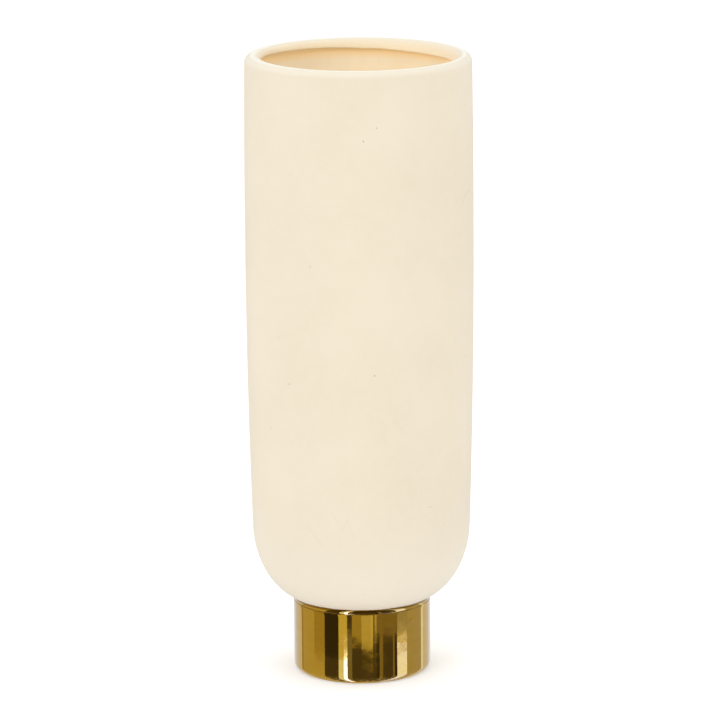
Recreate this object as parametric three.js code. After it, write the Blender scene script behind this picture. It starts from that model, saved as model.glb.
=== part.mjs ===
// A tall footed vase in porcelain. A slip-cast vessel stands on a separately cast foot ring and is
// luted to it with slip. Matte cream glaze covers the outside, clear glaze the inside and the hollow
// of the foot, and fired gold lustre the outside of the foot. Nothing on it moves.
// Millimetres, +Z up. The origin is the centre of the ring that the vase stands on.
import * as THREE from 'three';

// Overall form, measured over the finished coats
const HEIGHT = 317.5;        // table to the crest of the lip
const BELLY_RADIUS = 57.5;   // the widest round of the gently barrelled wall
const HAUNCH_DRAW_IN = 2.1;  // how much narrower the wall is where it turns under into the bowl
const RIM_DRAW_IN = 0.65;    // how much narrower it is at the lip
const BELLY_RISE = 145;      // haunch to belly
const BOWL_DEPTH = 40;       // height of the rounded bottom, from the haunch to the flat underside
const BOWL_REACH = 28;       // how far the rounded bottom turns in
const STAND = 37.6;          // table to the flat underside of the bowl
const WALL = 5.2;            // vessel wall with both its glazes

// Lip
const LIP_THICKNESS = 8;     // thicker than the wall, as slip gathers there
const LIP_CREST = 4;         // outer face to the crest
const LIP_ROUND = 3.8;       // height of the outer rounding
const LIP_DEPTH = 4.6;       // crest down to the inner edge
const UNDERCUT = 3;          // height of the cove under the inner edge
const LINING_STOP = 60;      // degrees round that cove where the clear lining ends

// Foot
const FOOT_RADIUS = 34.9;    // over the gold
const FOOT_WALL = 6.6;       // ring wall with its coats
const FOOT_ROUND = 2.6;      // reach of the rounding at the bottom edge
const FOOT_ROUND_HEIGHT = 3.2;
const COVE_REACH = 1.4;      // cove between the foot and the bowl
const COVE_HEIGHT = 2.6;
const HOLLOW_FILLET = 2;     // round the top of the hollow
const LUTE = 1.4;            // thickness of the slip joint under the flat of the bowl
const BARE_HEIGHT = 0.3;     // unglazed porcelain shows up to here
const COAT_LIFT = 0.6;       // the coats stop this far above the table

// Coats, and the clearance between one piece and the next
const CREAM_GLAZE = 0.6;
const CLEAR_GLAZE = 0.5;
const GOLD = 0.5;
const GAP = 0.3;

// Fineness of the turned surfaces
const SEGMENTS = 48;

const rimRadius = BELLY_RADIUS - RIM_DRAW_IN;
const haunchRadius = BELLY_RADIUS - HAUNCH_DRAW_IN;
const haunchHeight = STAND + BOWL_DEPTH;
const bellyHeight = haunchHeight + BELLY_RISE;
const lipInner = rimRadius - LIP_THICKNESS;
const lipEdgeHeight = HEIGHT - LIP_DEPTH;
const giltEdge = FOOT_RADIUS + COVE_REACH;
const hollowRadius = FOOT_RADIUS - FOOT_WALL;

// A line is a list of points, each a place on a surface (r, z) and the direction out of the piece
// there (nr, nz). turned() gives points round an ellipse, in degrees from its outermost point.
function turned(centreR, centreZ, reachR, reachZ, from, to, steps) {
  const line = [];
  for (let i = 0; i <= steps; i += 1) {
    const angle = THREE.MathUtils.degToRad(from + ((to - from) * i) / steps);
    const normal = new THREE.Vector2(Math.cos(angle) / reachR, Math.sin(angle) / reachZ).normalize();
    line.push({
      r: centreR + reachR * Math.cos(angle),
      z: centreZ + reachZ * Math.sin(angle),
      nr: normal.x,
      nz: normal.y,
    });
  }
  return line;
}

// A wall that draws in by a small amount over a long height, as one arc with its widest at the belly
function barrel(drawIn, rise, side, steps) {
  const radius = (rise * rise + drawIn * drawIn) / (2 * drawIn);
  const angle = THREE.MathUtils.radToDeg(Math.asin(rise / radius));
  const arc = turned(BELLY_RADIUS - radius, bellyHeight, radius, radius, 0, side * angle, steps);
  return side < 0 ? arc.reverse() : arc;
}

// The other side of a surface, such as a cove seen from its hollow
function facingBack(line) {
  return line.map((p) => ({ r: p.r, z: p.z, nr: -p.nr, nz: -p.nz }));
}

// The same line sunk into its piece
function sunk(line, depth) {
  return line.map((p) => ({ ...p, r: p.r - p.nr * depth, z: p.z - p.nz * depth }));
}

function between(a, b, t) {
  const mix = THREE.MathUtils.lerp;
  return { r: mix(a.r, b.r, t), z: mix(a.z, b.z, t), nr: mix(a.nr, b.nr, t), nz: mix(a.nz, b.nz, t) };
}

// The part of a line before a measure of its points passes a limit
function upTo(line, measure, limit) {
  const last = line.findIndex((p, i) => i > 0 && measure(p) > limit && measure(line[i - 1]) <= limit);
  if (last < 0) {
    return line;
  }
  const a = line[last - 1];
  const b = line[last];
  return [...line.slice(0, last), between(a, b, (limit - measure(a)) / (measure(b) - measure(a)))];
}

// The part of a line after it
function after(line, measure, limit) {
  return upTo([...line].reverse(), (p) => -measure(p), -limit).reverse();
}

// The part of a line before it crosses another
function trimmed(line, cutter) {
  for (let i = 1; i < line.length; i += 1) {
    const a = line[i - 1];
    const b = line[i];
    for (let j = 1; j < cutter.length; j += 1) {
      const c = cutter[j - 1];
      const d = cutter[j];
      const cross = (b.r - a.r) * (d.z - c.z) - (b.z - a.z) * (d.r - c.r);
      const t = ((c.r - a.r) * (d.z - c.z) - (c.z - a.z) * (d.r - c.r)) / cross;
      const u = ((c.r - a.r) * (b.z - a.z) - (c.z - a.z) * (b.r - a.r)) / cross;
      if (t > 0 && t <= 1 && u >= 0 && u <= 1) {
        return [...line.slice(0, i), between(a, b, t)];
      }
    }
  }
  return line;
}

const radiusOf = (p) => p.r;
const heightOf = (p) => p.z;

// Outside of the vessel, from the middle of its underside, up and over the lip to its inner edge
const outside = [
  { r: 0, z: STAND, nr: 0, nz: -1 },
  ...turned(haunchRadius - BOWL_REACH, haunchHeight, BOWL_REACH, BOWL_DEPTH, -90, 0, 8),
  ...barrel(HAUNCH_DRAW_IN, BELLY_RISE, -1, 2).slice(1),
  ...barrel(RIM_DRAW_IN, HEIGHT - LIP_ROUND - bellyHeight, 1, 2).slice(1),
  ...turned(rimRadius - LIP_CREST, HEIGHT - LIP_ROUND, LIP_CREST, LIP_ROUND, 0, 90, 4).slice(1),
  ...turned(rimRadius - LIP_CREST, lipEdgeHeight, LIP_THICKNESS - LIP_CREST, LIP_DEPTH, 90, 180, 4).slice(1),
];

// Inside of the vessel, from the middle of its floor up to the cove under the lip
const inside = [
  ...upTo(facingBack(sunk(outside, WALL)), heightOf, lipEdgeHeight - UNDERCUT).slice(0, -1),
  ...facingBack(
    turned(lipInner, lipEdgeHeight - UNDERCUT, LIP_THICKNESS - WALL, UNDERCUT, 0, LINING_STOP, 3),
  ),
];

// Outside of the foot, from the ring that it stands on up to the gilding's edge on the bowl
const giltHeight = after(outside, radiusOf, giltEdge)[0].z;
const footSide = [
  ...turned(FOOT_RADIUS - FOOT_ROUND, FOOT_ROUND_HEIGHT, FOOT_ROUND, FOOT_ROUND_HEIGHT, -90, 0, 5),
  ...facingBack(turned(giltEdge, giltHeight - COVE_HEIGHT, COVE_REACH, COVE_HEIGHT, 180, 90, 4)),
];

// Hollow of the foot, from its mouth up to the middle of the vessel's underside
const hollowTop = STAND + CREAM_GLAZE - CLEAR_GLAZE;
const hollow = [
  { r: hollowRadius, z: COAT_LIFT, nr: -1, nz: 0 },
  ...facingBack(
    turned(hollowRadius - HOLLOW_FILLET, hollowTop - HOLLOW_FILLET, HOLLOW_FILLET, HOLLOW_FILLET, 0, 90, 3),
  ),
  { r: 0, z: hollowTop, nr: 0, nz: -1 },
];

// How deep each piece lies under the finished surface
const creamBed = CREAM_GLAZE + GAP;
const clearBed = CLEAR_GLAZE + GAP;
const footGlazeTop = GOLD + GAP;
const footBed = footGlazeTop + clearBed;
const underVessel = sunk(outside, creamBed - GAP);
const luteBase = STAND + creamBed - GAP - LUTE;

// One turned piece: its section runs from the axis to the axis, or round to where it began
function lathe(name, section, finish) {
  const points = section.map((p) => new THREE.Vector2(Math.max(p.r, 0), p.z));
  if (points[0].x > 0) {
    points.push(points[0].clone());
  }
  if (THREE.ShapeUtils.area(points) < 0) {
    points.reverse();
  }
  const geometry = new THREE.LatheGeometry(points, SEGMENTS);
  geometry.rotateX(Math.PI / 2);
  const mesh = new THREE.Mesh(geometry, new THREE.MeshStandardMaterial(finish));
  mesh.name = name;
  return mesh;
}

// A coat over a surface, between two depths
function coat(name, top, bed, finish) {
  return lathe(name, [...top, ...[...bed].reverse()], finish);
}

const BISCUIT = { color: 0xefe6d2, roughness: 0.6, metalness: 0 };
const CREAM = { color: 0xf1e7d0, roughness: 0.5, metalness: 0 };
const CLEAR = { color: 0xf1d9ae, roughness: 0.3, metalness: 0 };
const GILT = { color: 0xb8892e, roughness: 0.1, metalness: 1 };

// Porcelain vessel: one casting, its wall, rounded bottom and thick lip
function vessel() {
  return lathe('vessel', [...sunk(outside, creamBed), ...sunk(inside, clearBed).reverse()], BISCUIT);
}

// Matte cream glaze: from the gilding's edge on the bowl, up the wall and over the lip
function outerGlaze() {
  const covered = after(outside, radiusOf, giltEdge);
  return coat('outer_glaze', covered, sunk(covered, CREAM_GLAZE), CREAM);
}

// Clear glaze lining: floor, inside wall and the cove under the lip
function innerGlaze() {
  return coat('inner_glaze', inside, sunk(inside, CLEAR_GLAZE), CLEAR);
}

// Porcelain foot ring: an open ring with a bare, ground face to stand on
function footRing() {
  const bare = upTo(footSide, heightOf, BARE_HEIGHT);
  const covered = after(footSide, heightOf, BARE_HEIGHT);
  const side = upTo(sunk(covered, footBed), heightOf, luteBase - GAP);
  const inner = hollowRadius + clearBed;
  const top = { r: inner, z: luteBase - GAP };
  return lathe('foot_ring', [{ r: inner, z: 0 }, ...bare, ...side, top], BISCUIT);
}

// Slip joint: fired slip between the ring and the bowl, wiped to a cove outside and a fillet inside
function slipJoint() {
  const cove = after(sunk(footSide, footBed), heightOf, luteBase);
  const fillet = after(sunk(hollow, clearBed), heightOf, luteBase);
  const outer = trimmed(cove, underVessel);
  const inner = trimmed(fillet, underVessel);
  const top = after(trimmed(underVessel, cove), radiusOf, inner.at(-1).r);
  return lathe('slip_joint', [...inner, ...top.slice(1, -1), ...outer.reverse()], BISCUIT);
}

// Clear glaze on the outside of the foot, the gloss bed that the gold is fired on
function footGlaze() {
  const covered = after(footSide, heightOf, COAT_LIFT);
  const top = trimmed(sunk(covered, footGlazeTop), underVessel);
  const bed = trimmed(sunk(covered, footGlazeTop + CLEAR_GLAZE), underVessel);
  return coat('foot_glaze', top, bed, CLEAR);
}

// Clear glaze in the hollow of the foot and across the underside of the vessel
function baseGlaze() {
  return coat('base_glaze', hollow, sunk(hollow, CLEAR_GLAZE), CLEAR);
}

// Gold lustre: over the rounding, side and cove of the foot, up to the cream glaze
function goldLustre() {
  const above = after(footSide, heightOf, COAT_LIFT);
  const covered = upTo(above, (p) => (p.z < STAND / 2 ? 0 : p.r), giltEdge - 2 * GAP);
  return coat('gold_lustre', covered, trimmed(sunk(covered, GOLD), underVessel), GILT);
}

const group = new THREE.Group();
group.add(vessel(), outerGlaze(), innerGlaze());
group.add(footRing(), slipJoint(), footGlaze(), baseGlaze(), goldLustre());

export default group;
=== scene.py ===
import math

import bpy
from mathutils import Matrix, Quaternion, Vector


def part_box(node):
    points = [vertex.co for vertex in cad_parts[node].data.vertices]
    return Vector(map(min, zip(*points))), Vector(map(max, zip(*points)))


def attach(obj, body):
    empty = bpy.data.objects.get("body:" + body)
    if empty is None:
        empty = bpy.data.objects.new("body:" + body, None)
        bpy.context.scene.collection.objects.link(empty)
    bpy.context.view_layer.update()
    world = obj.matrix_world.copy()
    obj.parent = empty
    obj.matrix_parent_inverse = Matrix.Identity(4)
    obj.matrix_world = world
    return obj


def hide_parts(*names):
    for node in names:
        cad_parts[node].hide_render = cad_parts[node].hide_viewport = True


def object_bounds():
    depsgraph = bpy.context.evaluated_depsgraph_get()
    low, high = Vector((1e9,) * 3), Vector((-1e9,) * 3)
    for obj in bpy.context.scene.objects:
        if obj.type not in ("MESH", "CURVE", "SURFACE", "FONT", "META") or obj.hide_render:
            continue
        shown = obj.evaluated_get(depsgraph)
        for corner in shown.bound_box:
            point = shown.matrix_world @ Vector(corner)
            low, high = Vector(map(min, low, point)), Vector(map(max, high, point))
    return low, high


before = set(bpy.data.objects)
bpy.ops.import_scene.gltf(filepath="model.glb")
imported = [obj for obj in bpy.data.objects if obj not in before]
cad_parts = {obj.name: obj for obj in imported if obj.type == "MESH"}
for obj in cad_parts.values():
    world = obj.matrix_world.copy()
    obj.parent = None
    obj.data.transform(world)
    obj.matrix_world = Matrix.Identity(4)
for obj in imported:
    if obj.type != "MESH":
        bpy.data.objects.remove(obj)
cad_low, cad_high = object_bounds()


# ---------------------------------------------------------------------------------------------
# Camera: a long lens, in front of the vase and a little above it. It aims just above the middle of
# the vase and is turned a hair, so the vase leans very slightly.
camera_distance = 2.2229
camera_rise = math.radians(13.2387)
camera_roll = math.radians(-0.4083)
aim_shift = Vector((-0.00011, 0, 0.00210))
middle = (cad_low + cad_high) / 2
aim = middle + aim_shift
stand_at = middle + camera_distance * Vector((0, -math.cos(camera_rise), math.sin(camera_rise)))
facing = (aim - stand_at).to_track_quat("-Z", "Y") @ Quaternion((0, 0, 1), camera_roll)
bpy.ops.object.camera_add(location=stand_at, rotation=facing.to_euler())
camera = bpy.context.object
camera.data.lens = 219.62
camera.data.sensor_width = 36
camera.data.clip_end = 30
bpy.context.scene.camera = camera


# ---------------------------------------------------------------------------------------------
# Vessel: the porcelain casting. Slip is poured into a plaster mould, left until the wall is thick
# enough and drained, and the leather-hard lip is rounded with a wet sponge. The glazes cover it.
cream_bed = 0.0009       # how far the porcelain lies under the face of the cream glaze
lining_bed = 0.0008      # and under the face of the lining
wall = 0.0052            # with its glazes on both sides
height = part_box("outer_glaze")[1].z
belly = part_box("outer_glaze")[1].x
haunch_draw_in = 0.0021
rim_draw_in = 0.00065
haunch = belly - haunch_draw_in
rim = belly - rim_draw_in
belly_rise = 0.145       # from the haunch up to the belly
bowl_depth = 0.040
bowl_reach = 0.028
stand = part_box("vessel")[0].z - cream_bed
haunch_height = stand + bowl_depth
lip_thickness = 0.008
lip_crest = 0.004        # from the rim in to the top of the lip
lip_round = 0.0038
lip_depth = 0.0046
lip_edge = height - lip_depth
undercut = 0.003         # height of the cove under the lip
cove_margin = 0.0005     # the wall's own points end this far under the cove
lean_slope = 0.033       # how steeply the hand-cut inner edge of the lip falls to one side
lean_level = 0.5013      # where along that slope the edge stays as it was cast
wander_depth = 0.0011
wander_level = 0.35
wander_size = 0.022
hand_reach = 0.03        # the cutting shows this far down the wall
hand_fade = 0.02
around = 192             # points in each ring of a piece


class Wire:
    """A shader socket, worked with as a number."""

    def __init__(self, tree, socket):
        self.tree = tree
        self.socket = socket

    def node(self, kind, settings, values, output=0):
        """Any node: its settings first, then the values or the links of its sockets."""
        made = self.tree.nodes.new("ShaderNode" + kind)
        for name, value in settings.items():
            setattr(made, name, value)
        for name, value in values.items():
            if isinstance(value, Wire):
                self.tree.links.new(value.socket, made.inputs[name])
            else:
                made.inputs[name].default_value = value
        return Wire(self.tree, made.outputs[output] if made.outputs else None)

    def math(self, operation, *others):
        return self.node("Math", {"operation": operation}, dict(enumerate((self, *others))))

    def __add__(self, other):
        return self.math("ADD", other)

    __radd__ = __add__

    def __mul__(self, other):
        return self.math("MULTIPLY", other)

    __rmul__ = __mul__

    def __sub__(self, other):
        return self.math("SUBTRACT", other)

    def __rsub__(self, other):
        return (self * -1) + other

    def step(self, low, high):
        """0 below low, 1 above high, and smooth in between. High may be the lower of the two."""
        return self.node("MapRange", {"interpolation_type": "SMOOTHSTEP"},
                         {"Value": self, "From Min": low, "From Max": high})

    def noise(self, scale, detail=2.0, roughness=0.5):
        return self.node("TexNoise", {}, {
            "Vector": self, "Scale": scale, "Detail": detail, "Roughness": roughness})

    def cells(self, scale, feature="F1"):
        """Distance to the nearest of many scattered points, or to the edges between their cells."""
        return self.node("TexVoronoi", {"feature": feature}, {"Vector": self, "Scale": scale}, "Distance")

    def stretched(self, x, y, z):
        return self.node("VectorMath", {"operation": "MULTIPLY"}, {0: self, 1: (x, y, z)})

    def rise(self):
        """How high this place is."""
        return self.node("SeparateXYZ", {}, {"Vector": self}, "Z")

    def from_axis(self):
        """How far this place is from the middle of the vase."""
        return self.node("VectorMath", {"operation": "LENGTH"}, {0: self.stretched(1, 1, 0)}, "Value")

    def tint(self, under, over):
        """The colour under, turning into the colour over as this mask goes from 0 to 1."""
        return self.node("Mix", {"data_type": "RGBA"}, {0: self, 6: under, 7: over}, 2)


def new_material(name):
    """An empty material, and the place on the piece as a wire."""
    material = bpy.data.materials.new(name)
    material.use_nodes = True
    tree = material.node_tree
    tree.nodes.clear()
    return material, Wire(tree, tree.nodes.new("ShaderNodeTexCoord").outputs["Object"])


def surface(place, values):
    """The shader at the end of a material."""
    place.node("OutputMaterial", {}, {"Surface": place.node("BsdfPrincipled", {}, values)})


def relief(place, bumps):
    """A surface's small unevenness, from its height in metres as a wire."""
    return place.node("Bump", {}, {"Height": bumps, "Distance": 1.0, "Strength": 1.0})


def arc(centre, reach, start, stop, steps, depth=0.0):
    """Points (radius, height) round an ellipse, in degrees, sunk below it by a depth."""
    line = []
    for step in range(steps + 1):
        turn = math.radians(start + (stop - start) * step / steps)
        out = math.cos(turn) / reach[0]
        up = math.sin(turn) / reach[1]
        steep = math.hypot(out, up)
        line.append(Vector((
            centre[0] + reach[0] * math.cos(turn) - depth * out / steep,
            centre[1] + reach[1] * math.sin(turn) - depth * up / steep,
        )))
    return line


def swell(draw_in, rise, start, stop, steps, depth):
    """Part of the barrelled wall: one long arc, widest at the belly."""
    bend = (rise * rise + draw_in * draw_in) / (2 * draw_in)
    end = math.degrees(math.asin(rise / bend))
    centre = (belly - bend, haunch_height + belly_rise)
    return arc(centre, (bend, bend), start * end, stop * end, steps, depth)


def bowl_line(depth, start=-90):
    """The rounded bottom, from the flat of its underside to the haunch."""
    centre = (haunch - bowl_reach, haunch_height)
    return arc(centre, (bowl_reach, bowl_depth), start, 0, 40, depth)


def wall_line(depth):
    """The wall above the haunch, up to where the lip begins to round over."""
    above_belly = height - lip_round - haunch_height - belly_rise
    return [
        *swell(haunch_draw_in, belly_rise, -1, 0, 24, depth),
        *swell(rim_draw_in, above_belly, 0, 1, 16, depth)[1:],
    ]


def lip_line(depth):
    """Over the lip, from its outer rounding to its inner edge."""
    return [
        *arc((rim - lip_crest, height - lip_round), (lip_crest, lip_round), 0, 90, 12, depth),
        *arc((rim - lip_crest, lip_edge), (lip_thickness - lip_crest, height - lip_edge),
             90, 180, 14, depth)[1:],
    ]


def inside_line(depth, cove_stop):
    """The inside, from the flat of its floor up to the cove under the lip."""
    rising = [*bowl_line(wall - depth), *wall_line(wall - depth)[1:]]
    return [
        *[point for point in rising if point[1] < lip_edge - undercut - cove_margin],
        *arc((rim - lip_thickness, lip_edge - undercut), (lip_thickness - wall, undercut),
             0, cove_stop, 8, -depth),
    ]


def throw(name, line):
    """Raises a piece ring by ring through the points of a line, as on a wheel."""
    bpy.ops.object.select_all(action="DESELECT")
    flat = line[0][0] == 0
    points = line[1:] if flat else line
    radius, level = points[0]
    bpy.ops.mesh.primitive_circle_add(
        vertices=around, radius=radius, location=(0, 0, level),
        fill_type="TRIFAN" if flat else "NOTHING",
    )
    piece = bpy.context.object
    piece.name = piece.data.name = name
    bpy.ops.object.mode_set(mode="EDIT")
    if flat:
        bpy.ops.mesh.region_to_loop()
    for next_radius, next_level in points[1:]:
        bpy.ops.mesh.extrude_edges_move(
            TRANSFORM_OT_translate={"value": (0, 0, next_level - level)})
        if next_radius == 0:
            bpy.ops.mesh.merge(type="CENTER")
            break
        widen = next_radius / radius
        bpy.ops.transform.resize(value=(widen, widen, 1))
        radius, level = next_radius, next_level
    bpy.ops.mesh.select_all(action="SELECT")
    bpy.ops.mesh.remove_doubles(threshold=0.000002)
    bpy.ops.mesh.normals_make_consistent(inside=False)
    bpy.ops.object.mode_set(mode="OBJECT")
    bpy.ops.object.transform_apply(location=True, rotation=True, scale=True)
    bpy.ops.object.shade_smooth_by_angle(angle=math.radians(50))
    return piece


def soften(piece, texture, strength, mid_level, direction, weight):
    """Pushes a piece about by a texture, as far as a weight from 0 to 1 at each point allows."""
    group = piece.vertex_groups.new(name="hand")
    for vertex in piece.data.vertices:
        x, y, z = vertex.co
        group.add([vertex.index], weight(math.hypot(x, y), z), "REPLACE")
    push = piece.modifiers.new("hand", "DISPLACE")
    push.texture = texture
    push.texture_coords = "LOCAL"
    push.direction = direction
    push.strength = strength
    push.mid_level = mid_level
    push.vertex_group = group.name
    bpy.context.view_layer.objects.active = piece
    bpy.ops.object.modifier_apply(modifier=push.name)
    piece.vertex_groups.clear()


def clamp(share):
    return min(1.0, max(0.0, share))


def inside_of_lip(radius, level):
    """1 at the lip's inner edge and under it, fading out over its crest and down the wall."""
    inward = clamp((rim - lip_crest - radius) / (lip_thickness - lip_crest))
    down = clamp((level - (lip_edge - hand_reach)) / hand_fade)
    return inward * inward * down


def trim_lip(piece):
    """The lip's inner edge was cut and sponged by hand: it drops to one side and wanders a little."""
    lean = bpy.data.textures.new("lean", "BLEND")    # rises by a half over a metre
    soften(piece, lean, -2 * lean_slope, lean_level, "Z", inside_of_lip)
    wander = bpy.data.textures.new("wander", "CLOUDS")
    wander.noise_scale = wander_size
    soften(piece, wander, -wander_depth, wander_level, "Z", inside_of_lip)


under = [*bowl_line(cream_bed), *wall_line(cream_bed)[1:], *lip_line(cream_bed)[1:]]
over = inside_line(lining_bed, 60)
axis_under = Vector((0, under[0][1]))
axis_over = Vector((0, over[0][1]))
vessel = throw("vessel_casting", [axis_under, *under, *reversed(over), axis_over])
trim_lip(vessel)
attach(vessel, "root")
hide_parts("vessel")

material, place = new_material("fired_porcelain_body")
grain = place.noise(900, 3)
cloud = place.noise(30, 2)
body_colour = cloud.step(0.35, 0.7).tint((0.80, 0.72, 0.58, 1), (0.86, 0.80, 0.68, 1))
surface(place, {
    "Base Color": body_colour,
    "Roughness": 0.62 + grain * 0.2,
    "Normal": relief(place, grain * 0.00006),
})
vessel.data.materials.append(material)


# ---------------------------------------------------------------------------------------------
# Foot ring: an open ring of the same porcelain, cast apart from the vessel. Its lower face is left
# bare and ground flat after the firing, so the vase stands steady and doesn't scratch a shelf.
cove_reach = 0.0014
cove_height = 0.0026
gap = 0.0003
gilt_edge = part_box("gold_lustre")[1].x + 2 * gap    # the line where gold and cream would meet
gilt_turn = -math.degrees(math.acos((gilt_edge - haunch + bowl_reach) / bowl_reach))
gilt_height = haunch_height + bowl_depth * math.sin(math.radians(gilt_turn))
groove_height = 0.0007
foot_radius = gilt_edge - cove_reach
foot_round = 0.0026
foot_round_height = 0.0032
foot_wall = 0.0066
foot_bed = 0.0016        # how far the porcelain lies under the face of the gold
hollow_bed = 0.0008      # and under the glaze in the hollow
hollow_radius = foot_radius - foot_wall
ring_inner = hollow_radius + hollow_bed
lute = 0.0014
ring_top = stand + cream_bed - gap - lute - gap
bare_height = 0.0003
side_starts = bare_height + 0.0014    # the side that lies under the coats begins here
heel_stop = -66          # degrees round the lower edge, where the bare porcelain ends


def straight(start, stop, steps):
    """Points along a straight stretch."""
    return [start.lerp(stop, step / steps) for step in range(steps + 1)]


def foot_line(depth, low, cove_stop=90.0, groove=0.0):
    """The foot from just above the table, round its lower edge, up its side and out into the cove."""
    lower = arc((foot_radius - foot_round, foot_round_height), (foot_round, foot_round_height),
                -90, 0, 30, depth)
    lower = [point for point in lower if point[1] > low]
    cove = arc((gilt_edge, gilt_height - cove_height), (cove_reach, cove_height),
               180, cove_stop, 12, -depth)
    groove_base = cove[0] - Vector((0, groove_height))
    wiped = straight(groove_base, cove[0], 8)
    for step, point in enumerate(wiped):
        point[0] -= groove * (1 - math.cos(math.pi * step / 4)) / 2
    return [*lower, *straight(lower[-1], wiped[0], 26)[1:], *wiped[1:], *cove[1:]]


ring_side = [point for point in foot_line(foot_bed, side_starts)
             if point[1] < ring_top and point[0] < foot_radius]
heel = arc((foot_radius - foot_round, foot_round_height), (foot_round, foot_round_height),
           -90, heel_stop, 5)
ring = throw("foot_ring_casting", [
    Vector((ring_inner, 0)),
    *heel,
    *ring_side,
    Vector((ring_side[-1][0], ring_top)),
    Vector((ring_inner, ring_top)),
    Vector((ring_inner, 0)),
])
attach(ring, "root")
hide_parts("foot_ring")

material, place = new_material("ground_bare_porcelain")
from_axis = place.from_axis()
grain = place.noise(1400, 3)
soil = place.noise(90, 4, 0.65)
marks = (from_axis * 9000 + place.noise(60) * 9).math("SINE")
scores = place.noise(260, 1).step(0.62, 0.7)
clean = soil.step(0.4, 0.75).tint((0.80, 0.75, 0.66, 1), (0.62, 0.55, 0.45, 1))
surface(place, {
    "Base Color": (scores * 0.4).tint(clean, (0.45, 0.40, 0.34, 1)),
    "Roughness": 0.72 + grain * 0.2,
    "Normal": relief(place, marks * 0.000012 + grain * 0.00008 - scores * 0.00004),
})
ring.data.materials.append(material)


# ---------------------------------------------------------------------------------------------
# Slip joint: thick slip that lutes the foot ring to the underside of the vessel. It is squeezed out
# as the two are pressed together, wiped to a fillet with a wet finger, and fires as hard as they do.
material, place = new_material("fired_slip")
grain = place.noise(700, 4, 0.6)
smear = place.stretched(1, 1, 6).noise(60, 3)
wiped = smear.step(0.35, 0.7).tint((0.74, 0.66, 0.53, 1), (0.82, 0.76, 0.64, 1))
surface(place, {
    "Base Color": wiped,
    "Roughness": 0.66 + smear * 0.2,
    "Normal": relief(place, grain * 0.00012 + smear * 0.0001),
})
slip_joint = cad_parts["slip_joint"]
slip_joint.material_slots[0].material = material


# ---------------------------------------------------------------------------------------------
# Cream glaze: a satin-matte glaze, sprayed on over the outside and the lip and fired. It breaks pale
# over the crest of the lip, where a highlight is painted on too, and holds small pinholes, faint
# hairlines and clouds.
cream_thickness = 0.0006
edge_round = cream_thickness / 2
brushed_depth = 0.0003
brushed_size = 0.006
brushed_reach = 0.0015   # the brushed border shows this far above the gold
brushed_fade = 0.001


def rolled(end, other, before):
    """Points that round off a coat's edge, from its one face to the other."""
    half = (end - other) / 2
    out = half.orthogonal()
    if out.dot(end - before) < 0:
        out = -out
    centre = (end + other) / 2
    turns = [math.radians(turn) for turn in (30, 60, 90, 120, 150)]
    return [centre + half * math.cos(turn) + out * math.sin(turn) for turn in turns]


def coat(front, back):
    """The closed section of a coat between two faces, with both its edges rounded."""
    return [
        *front,
        *rolled(front[-1], back[-1], front[-2]),
        *reversed(back),
        *rolled(back[0], front[0], back[1]),
        front[0],
    ]


def cream_line(depth):
    """The face of the cream glaze, from just above the gold up and over the lip."""
    edge_turn = gilt_turn + math.degrees(edge_round / bowl_reach) * 0.9
    return [*bowl_line(depth, edge_turn), *wall_line(depth)[1:], *lip_line(depth)[1:]]


def beside_the_gold(radius, level):
    """1 at the glaze's lower edge, fading out just above it."""
    return clamp((gilt_height + brushed_reach - level) / brushed_fade)


cream = throw("cream_glaze", coat(cream_line(0), cream_line(cream_thickness)))
trim_lip(cream)
brushed = bpy.data.textures.new("brushed_edge", "CLOUDS")
brushed.noise_scale = brushed_size
soften(cream, brushed, brushed_depth, 0.5, "Z", beside_the_gold)
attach(cream, "root")
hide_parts("outer_glaze")

material, place = new_material("satin_cream_glaze")
rise = place.rise()
cloud = place.noise(17, 3, 0.55)
mottle = place.noise(240, 3, 0.6)
peel = place.noise(620, 2)
fleck = place.noise(1900, 2)
# Paler over the crest of the lip: partly the glaze breaking pale there, partly a painted highlight from
# the light above.
crest = rise.step(height - 0.0042, height - 0.0006)
# Painted highlight: a thin bright line along the very top of the crest.
crest_painted_highlight = rise.step(height - 0.00035, height - 0.00005)
# Painted light: the inner face of the lip is painted lighter and warmer, for the warm light bounced round
# inside the mouth.
inward = place.from_axis().step(rim - lip_crest - 0.0012, rim - lip_thickness + 0.0002)
inner_lip_painted_light = inward * rise.step(lip_edge - 0.02, lip_edge - 0.01)
# Browner just above the gold.
just_above_gold = rise.step(gilt_height + 0.0022, gilt_height + 0.0002)
# Painted sheen: the bowl is painted paler towards the foot, for the white floor's light reflected in the
# glaze.
floor_sheen = rise.step(haunch_height + 0.030, gilt_height + 0.004)
pin_near = place.cells(66)
pinhole = pin_near.step(0.026, 0.012)
hair_edge = place.stretched(1, 1, 0.45).cells(31, "DISTANCE_TO_EDGE")
hairline = hair_edge.step(0.006, 0.002) * place.noise(23, 1).step(0.64, 0.70)
clouded = cloud.step(0.3, 0.72).tint((0.760, 0.673, 0.528, 1), (0.790, 0.706, 0.564, 1))
mottled = (mottle.step(0.35, 0.75) * 0.35).tint(clouded, (0.797, 0.716, 0.577, 1))
# Painted floor sheen, paler towards the foot.
with_painted_floor_sheen = (floor_sheen * 0.5).tint(mottled, (0.790, 0.728, 0.622, 1))
# Crest paler: glaze break and painted highlight.
crested = (crest * 0.8).tint(with_painted_floor_sheen, (0.87, 0.805, 0.67, 1))
# Painted warm light on the inner face of the lip.
warmed = (inner_lip_painted_light * 0.75).tint(crested, (0.885, 0.76, 0.55, 1))
# Painted highlight along the top of the crest.
with_crest_highlight = (crest_painted_highlight * 0.8).tint(warmed, (0.97, 0.94, 0.82, 1))
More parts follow.
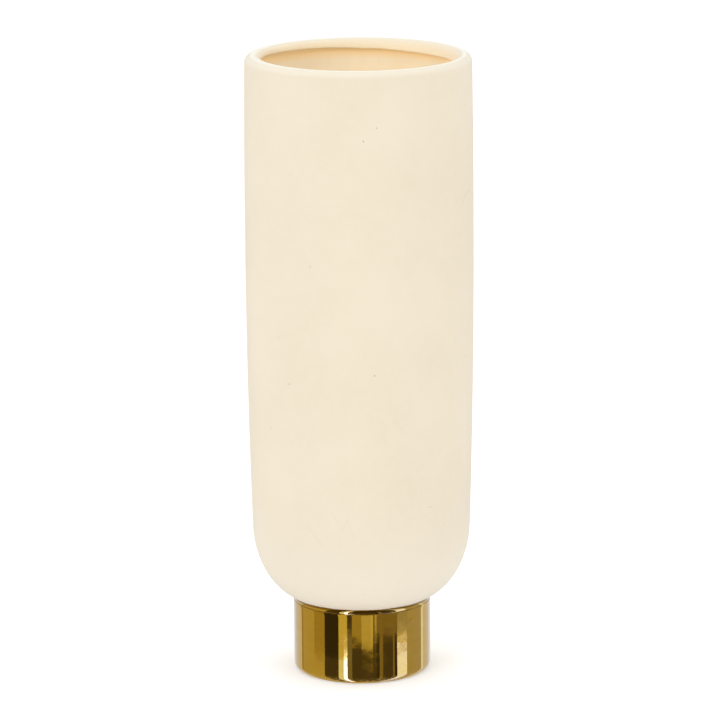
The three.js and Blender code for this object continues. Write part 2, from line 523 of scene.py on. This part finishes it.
# Browner just above the gold.
browner_above_gold = (just_above_gold * 0.15).tint(with_crest_highlight, (0.74, 0.62, 0.42, 1))
scuffed = (hairline * 0.3).tint(browner_above_gold, (0.70, 0.60, 0.45, 1))
cream_colour = (pinhole * 0.55).tint(scuffed, (0.33, 0.25, 0.16, 1))
surface(place, {
    "Base Color": cream_colour,
    "Roughness": 0.50 + cloud * 0.10 + fleck * 0.08 - crest * 0.06,
    "Specular IOR Level": 0.42,
    "Normal": relief(
        place, peel * 0.000045 + mottle * 0.00006 - pinhole * 0.00025 - hairline * 0.00003),
})
cream.data.materials.append(material)


# ---------------------------------------------------------------------------------------------
# Lining: clear glaze poured into the vessel, swirled round and tipped out, so it runs in streaks up
# the wall and gathers in the cove under the lip, which is painted deeper amber, partly for that glaze and
# partly as warm shade under the lip. The warm porcelain shows through it.
lining_thickness = 0.0005


def lining_line(depth):
    """The face of the lining, from the middle of the floor to under the lip."""
    floor_and_wall = inside_line(depth, 78)
    return [Vector((0, floor_and_wall[0][1])), *floor_and_wall]


lining_front = lining_line(0)
lining_back = lining_line(lining_thickness)
lining = throw("lining_glaze", [
    *lining_front,
    *rolled(lining_front[-1], lining_back[-1], lining_front[-2]),
    *reversed(lining_back),
])
trim_lip(lining)
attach(lining, "root")
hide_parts("inner_glaze")

material, place = new_material("poured_clear_lining")
rise = place.rise()
runs = place.stretched(1, 1, 0.12).noise(95, 3, 0.55)
cloud = place.noise(26, 3)
grain = place.noise(1100, 2)
# Deeper amber towards the top of the lining: glaze gathered in the cove, and painted warm shade under the
# lip's overhang.
top_of_coat = rise.step(lip_edge - 0.007, lip_edge - 0.002)
pin_near = place.cells(75)
pinhole = pin_near.step(0.030, 0.014)
streaked = runs.step(0.3, 0.75).tint((0.890, 0.760, 0.550, 1), (0.915, 0.800, 0.610, 1))
warmed = (cloud.step(0.4, 0.7) * 0.4).tint(streaked, (0.905, 0.770, 0.550, 1))
# Gathered glaze and painted warm shade under the lip.
amber = (top_of_coat * 0.65).tint(warmed, (0.97, 0.67, 0.30, 1))
surface(place, {
    "Base Color": (pinhole * 0.6).tint(amber, (0.36, 0.26, 0.15, 1)),
    "Roughness": 0.30 + cloud * 0.12 + grain * 0.04,
    "Coat Weight": 0.25 + runs * 0.2,
    "Coat Roughness": 0.12,
    "Normal": relief(place, runs * 0.00025 + grain * 0.00003 - pinhole * 0.0002),
})
lining.data.materials.append(material)


# ---------------------------------------------------------------------------------------------
# Foot glaze: clear glaze on the outside of the foot. Gold lustre only shines on a glossy bed, so the
# foot is glazed clear and fired before the gold is brushed on.
material, place = new_material("clear_bed_glaze")
ripple = place.noise(140, 3)
cloud = place.noise(40, 2)
surface(place, {
    "Base Color": cloud.step(0.35, 0.7).tint((0.82, 0.72, 0.56, 1), (0.88, 0.80, 0.66, 1)),
    "Roughness": 0.08 + cloud * 0.08,
    "Coat Weight": 0.6 + ripple * 0.2,
    "Coat Roughness": 0.05,
    "Normal": relief(place, ripple * 0.00008),
})
foot_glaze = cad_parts["foot_glaze"]
foot_glaze.material_slots[0].material = material


# ---------------------------------------------------------------------------------------------
# Base glaze: clear glaze in the hollow of the foot and across the vessel's underside. It is dabbed on
# with a brush, stops short of the ground face, and gathers in the corner where it is thickest.
base_glaze_thickness = 0.0005
hollow_top = stand + cream_thickness - base_glaze_thickness
hollow_fillet = 0.002
coat_lift = 0.0006


def hollow_line(depth):
    """The face of the base glaze, from the middle of the hollow's top down its side."""
    top = arc((hollow_radius - hollow_fillet, hollow_top - hollow_fillet),
              (hollow_fillet, hollow_fillet), 90, 0, 12, -depth)
    foot = Vector((top[-1][0], coat_lift + edge_round))
    return [Vector((0, top[0][1])), *top, *straight(top[-1], foot, 24)[1:]]


hollow_front = hollow_line(0)
hollow_back = hollow_line(base_glaze_thickness)
base = throw("base_glaze_coat", [
    *hollow_front,
    *rolled(hollow_front[-1], hollow_back[-1], hollow_front[-2]),
    *reversed(hollow_back),
])
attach(base, "root")
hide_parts("base_glaze")

material, place = new_material("dabbed_clear_base_glaze")
rise = place.rise()
dabs = place.stretched(1, 0.5, 1).noise(120, 3, 0.6)
cloud = place.noise(45, 2)
top_of_coat = rise.step(hollow_top - 0.005, hollow_top)
pin_near = place.cells(130)
pinhole = pin_near.step(0.04, 0.02)
dabbed = dabs.step(0.3, 0.75).tint((0.83, 0.74, 0.58, 1), (0.88, 0.81, 0.67, 1))
warmed = (top_of_coat * 0.3).tint(dabbed, (0.78, 0.66, 0.46, 1))
surface(place, {
    "Base Color": (pinhole * 0.6).tint(warmed, (0.35, 0.26, 0.16, 1)),
    "Roughness": 0.14 + cloud * 0.16,
    "Coat Weight": 0.4 + dabs * 0.3,
    "Coat Roughness": 0.06,
    "Normal": relief(place, dabs * 0.00018 - pinhole * 0.0002),
})
base.data.materials.append(material)


# ---------------------------------------------------------------------------------------------
# Gold lustre: liquid gold brushed over the glazed foot and fired once more, low. It is a bright
# mirror that shows every ripple of the glaze under it, and it wears first round the lower edge.
gold_thickness = 0.0004
gilt_start = coat_lift + 0.0002
gilt_stop = 106.0        # degrees round the cove, just short of the cream glaze
groove_depth = 0.00016   # of the line pressed in where the cove begins
ripple_depth = 0.00004
ripple_size = 0.011


def gold_line(depth):
    """The face of the gold, from the foot's lower edge to the top of the cove."""
    return foot_line(depth, gilt_start, gilt_stop, groove_depth)


gold = throw("gold_lustre_coat", coat(gold_line(0), gold_line(gold_thickness)))
ripples = bpy.data.textures.new("ripples", "CLOUDS")
ripples.noise_scale = ripple_size
soften(gold, ripples, ripple_depth, 1.0, "NORMAL", lambda radius, level: 1.0)
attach(gold, "root")
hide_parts("gold_lustre")

material, place = new_material("fired_gold_lustre")
rise = place.rise()
brush = place.stretched(1, 1, 3.5).noise(85, 3, 0.55)
smudge = place.noise(75, 4, 0.6)
speck = place.noise(1500, 2)
ripple = place.noise(190, 2)
pit_near = place.cells(210)
pit = pit_near.step(0.040, 0.018)
scratch_edge = place.stretched(1, 1, 0.7).cells(62, "DISTANCE_TO_EDGE")
scratch = scratch_edge.step(0.006, 0.002) * place.noise(70, 1).step(0.66, 0.70)
worn = rise.step(0.0042, 0.0008) * speck.step(0.40, 0.62)
rich = brush.step(0.3, 0.72).tint((0.84, 0.475, 0.045, 1), (0.86, 0.51, 0.065, 1))
browned = (smudge.step(0.5, 0.8) * 0.3).tint(rich, (0.76, 0.40, 0.04, 1))
# Painted shade: a broken dark line in the groove pressed in where the cove begins.
crease_at = gilt_height - cove_height - groove_height / 2
in_groove = (rise - crease_at).math("ABSOLUTE").step(0.00042, 0.00012)
groove_painted_shade = in_groove * place.noise(160, 2).step(0.28, 0.5)
# Painted shade: a dark band along the top edge of the gold, in the crevice under the cream glaze, where
# the coat is also taken off.
edge_painted_shade = rise.step(gilt_height - 0.0019, gilt_height - 0.0012)
# Both dark lines are painted shade.
painted_dark_lines = (groove_painted_shade * 0.75 + edge_painted_shade * 0.8).math("MINIMUM", 0.85).tint(browned, (0.24, 0.10, 0.006, 1))
marked = ((pit + scratch).math("MINIMUM", 1.0) * 0.7).tint(painted_dark_lines, (0.20, 0.11, 0.03, 1))
surface(place, {
    "Base Color": (worn * 0.5).tint(marked, (0.70, 0.56, 0.33, 1)),
    "Metallic": 1 - worn * 0.35,
    "Coat Weight": (0.35 + smudge * 0.2) * (1 - edge_painted_shade),
    "Coat Roughness": 0.03,
    "Roughness": 0.035 + smudge.step(0.45, 0.8) * 0.05 + worn * 0.2 + (pit + scratch) * 0.25,
    "Normal": relief(
        place, ripple * 0.000009 + speck * 0.0000012 - pit * 0.00004 - scratch * 0.00001),
})
gold.data.materials.append(material)


# ---------------------------------------------------------------------------------------------
# Studio: a faintly glowing white table under soft white light. Round the vase stands a tent of pale,
# warm and dark cards, seen only by reflection, which give the polished gold something to mirror.
bpy.ops.object.select_all(action="DESELECT")
bpy.ops.mesh.primitive_plane_add(size=30, location=(0, 0, 0))
floor = bpy.context.object
floor.name = "studio_floor"
floor.visible_glossy = False
material, place = new_material("studio_floor_white")
surface(place, {
    "Base Color": (0.93, 0.93, 0.925, 1),
    "Roughness": 0.9,
    "Specular IOR Level": 0.0,
    "Emission Color": (1, 1, 1, 1),
    "Emission Strength": 0.27,
})
floor.data.materials.append(material)

world = bpy.data.worlds.new("soft_white")
world.use_nodes = True
world.node_tree.nodes["Background"].inputs["Color"].default_value = (1, 1, 1, 1)
world.node_tree.nodes["Background"].inputs["Strength"].default_value = 0.80
bpy.context.scene.world = world


def softbox(name, place_at, size, watts, colour):
    """A large soft light that faces the middle of the vase."""
    bpy.ops.object.light_add(type="AREA", location=place_at)
    light = bpy.context.object
    light.name = name
    light.data.shape = "RECTANGLE"
    light.data.size, light.data.size_y = size
    light.data.energy = watts
    light.data.color = colour
    light.rotation_euler = (middle - Vector(place_at)).to_track_quat("-Z", "Y").to_euler()
    light.visible_glossy = False
    light.visible_camera = False


softbox("left_softbox", (-1.7, -2.3, 1.9), (1.6, 2.0), 17, (1, 0.99, 0.97))
softbox("right_softbox", (1.9, -2.1, 1.6), (1.4, 1.8), 8, (1, 0.975, 0.84))
softbox("top_softbox", (0, -0.3, 2.8), (2.0, 2.0), 8, (1, 1, 1))
softbox("left_rim_softbox", (-2.6, 1.3, 1.0), (0.8, 2.0), 8, (1, 1, 0.98))
softbox("right_rim_softbox", (2.6, 1.3, 1.0), (0.8, 2.0), 9, (1, 0.985, 0.86))

# A small lamp hung in the mouth, a little to one side, so the inside isn't left in shade
bpy.ops.object.light_add(type="POINT", location=(0.010, 0.012, height - 0.022))
mouth_lamp = bpy.context.object
mouth_lamp.name = "mouth_lamp"
mouth_lamp.data.energy = 0.019
mouth_lamp.data.shadow_soft_size = 0.015
mouth_lamp.data.color = (1, 0.93, 0.82)
mouth_lamp.visible_glossy = False
mouth_lamp.visible_camera = False


def glow(name, colour):
    """Even light from all over a card, red, green and blue."""
    made = bpy.data.materials.new(name)
    made.use_nodes = True
    tree = made.node_tree
    tree.nodes.clear()
    start = Wire(tree, None)
    light = start.node("Emission", {}, {"Color": (*colour, 1), "Strength": 1.0})
    start.node("OutputMaterial", {}, {"Surface": light})
    return made


def only_seen_by(card, *rays):
    """Hides a card from every kind of ray but the ones named."""
    for ray in ("camera", "diffuse", "glossy", "transmission", "volume_scatter", "shadow"):
        setattr(card, "visible_" + ray, ray in rays)


bpy.ops.object.select_all(action="DESELECT")
bpy.ops.mesh.primitive_uv_sphere_add(segments=48, ring_count=24, radius=12)
backdrop = bpy.context.object
backdrop.name = "white_backdrop"
backdrop.data.materials.append(glow("backdrop_white", (1, 1, 1)))
only_seen_by(backdrop, "camera")

tent_radius = 1.6
tent_top = 2.2
tent_low = -1.6
tent_eye = 0.5       # radius of the round opening in the tent's base
image_rise = 1.734   # how fast a mirror image climbs the tent as its place climbs the foot
image_start = -0.4914


def strip(start, stop, *bands):
    """One upright strip of the tent, in degrees from the front with left minus. Each band has its
    colour, and the height on the foot where its mirror image ends. The last runs on over the base."""
    top = tent_top
    for index, (colour, foot_height) in enumerate(bands):
        last = index == len(bands) - 1
        low = tent_low if last else image_start + image_rise * foot_height
        turn = math.radians(start - 90)
        corner = (tent_radius * math.cos(turn), tent_radius * math.sin(turn), top)
        bpy.ops.object.select_all(action="DESELECT")
        bpy.ops.mesh.primitive_plane_add(size=1, location=corner)
        card = bpy.context.object
        card.name = f"tent_{start:+.0f}_{index}"
        bpy.ops.object.mode_set(mode="EDIT")
        bpy.ops.mesh.merge(type="CENTER")
        bpy.ops.mesh.extrude_vertices_move(TRANSFORM_OT_translate={"value": (0, 0, low - top)})
        if last:
            inward = tent_eye - tent_radius
            bpy.ops.mesh.extrude_vertices_move(TRANSFORM_OT_translate={
                "value": (inward * math.cos(turn), inward * math.sin(turn), 0)})
        bpy.ops.mesh.select_all(action="SELECT")
        bpy.ops.mesh.spin(steps=max(2, round((stop - start) / 3)), angle=math.radians(start - stop),
                          center=(0, 0, 0), axis=(0, 0, 1))
        bpy.ops.object.mode_set(mode="OBJECT")
        card.data.materials.append(glow(card.name, colour))
        only_seen_by(card, "glossy")
        top = low


pale = (0.72, 0.78, 0.92)
silver = (0.62, 0.68, 0.86)
tan = (0.46, 0.44, 0.28)
brown = (0.35, 0.31, 0.14)
dark = (0.034, 0.032, 0.030)
dusk = (0.065, 0.060, 0.055)
amber = (0.58, 0.58, 0.36)
lamp = (2.8, 3.5, 14.0)
bright = (1.0, 1.28, 3.9)
glimmer = (0.80, 0.98, 1.60)
khaki = (0.20, 0.20, 0.18)
honey = (0.36, 0.33, 0.16)
apricot = (0.50, 0.50, 0.36)
bronze = (0.22, 0.20, 0.14)
fawn = (0.34, 0.355, 0.45)
stone = (0.40, 0.41, 0.46)

strip(-180, -150, (pale, 0))
strip(-150, -123, (silver, 0))
strip(-123, -118, (brown, 0))
strip(-118, -88, (tan, 0))
strip(-88, -66, (brown, 0.013), (tan, 0))
strip(-66, -40, (dark, 0.013), (dusk, 0))
strip(-40, -31, (amber, 0.0125), (glimmer, 0))
strip(-31, -25, (amber, 0.0145), (lamp, 0))
strip(-25, -17, (dusk, 0.028), (khaki, 0))
strip(-17, -1, (honey, 0.0235), (dusk, 0))
strip(-1, 14, (apricot, 0.0175), (dusk, 0))
strip(14, 18, (amber, 0.0185), (dusk, 0))
strip(18, 21, (bronze, 0.024), (dusk, 0))
strip(21, 24, (apricot, 0.0255), (dusk, 0))
strip(24, 29, (bronze, 0.0245), (dark, 0))
strip(29, 35, (bronze, 0))
strip(35, 53, (bronze, 0.0245), (dusk, 0))
strip(53, 56, (bronze, 0))
strip(56, 61, (bronze, 0.025), (dark, 0))
strip(61, 81, (fawn, 0.024), (amber, 0.019), (bright, 0))
strip(81, 118, (stone, 0))
strip(118, 125, (glimmer, 0))
strip(125, 150, (silver, 0))
strip(150, 180, (pale, 0))

# The round card under the opening in the tent's base, and its roof. The cove, the rounded edge and
# the hollow of the foot mirror the first, and the glazes mirror the second.
for name, level, radius, colour in (
    ("tent_eye", tent_low - 0.01, tent_eye * 1.1, (0.55, 0.50, 0.25)),
    ("tent_roof", tent_top, tent_radius * 1.01, (0.9, 0.9, 0.9)),
):
    bpy.ops.object.select_all(action="DESELECT")
    bpy.ops.mesh.primitive_circle_add(
        vertices=64, radius=radius, location=(0, 0, level), fill_type="NGON")
    card = bpy.context.object
    card.name = name
    card.data.materials.append(glow(name, colour))
    only_seen_by(card, "glossy")

scene = bpy.context.scene
scene.view_settings.view_transform = "Standard"
scene.view_settings.look = "None"
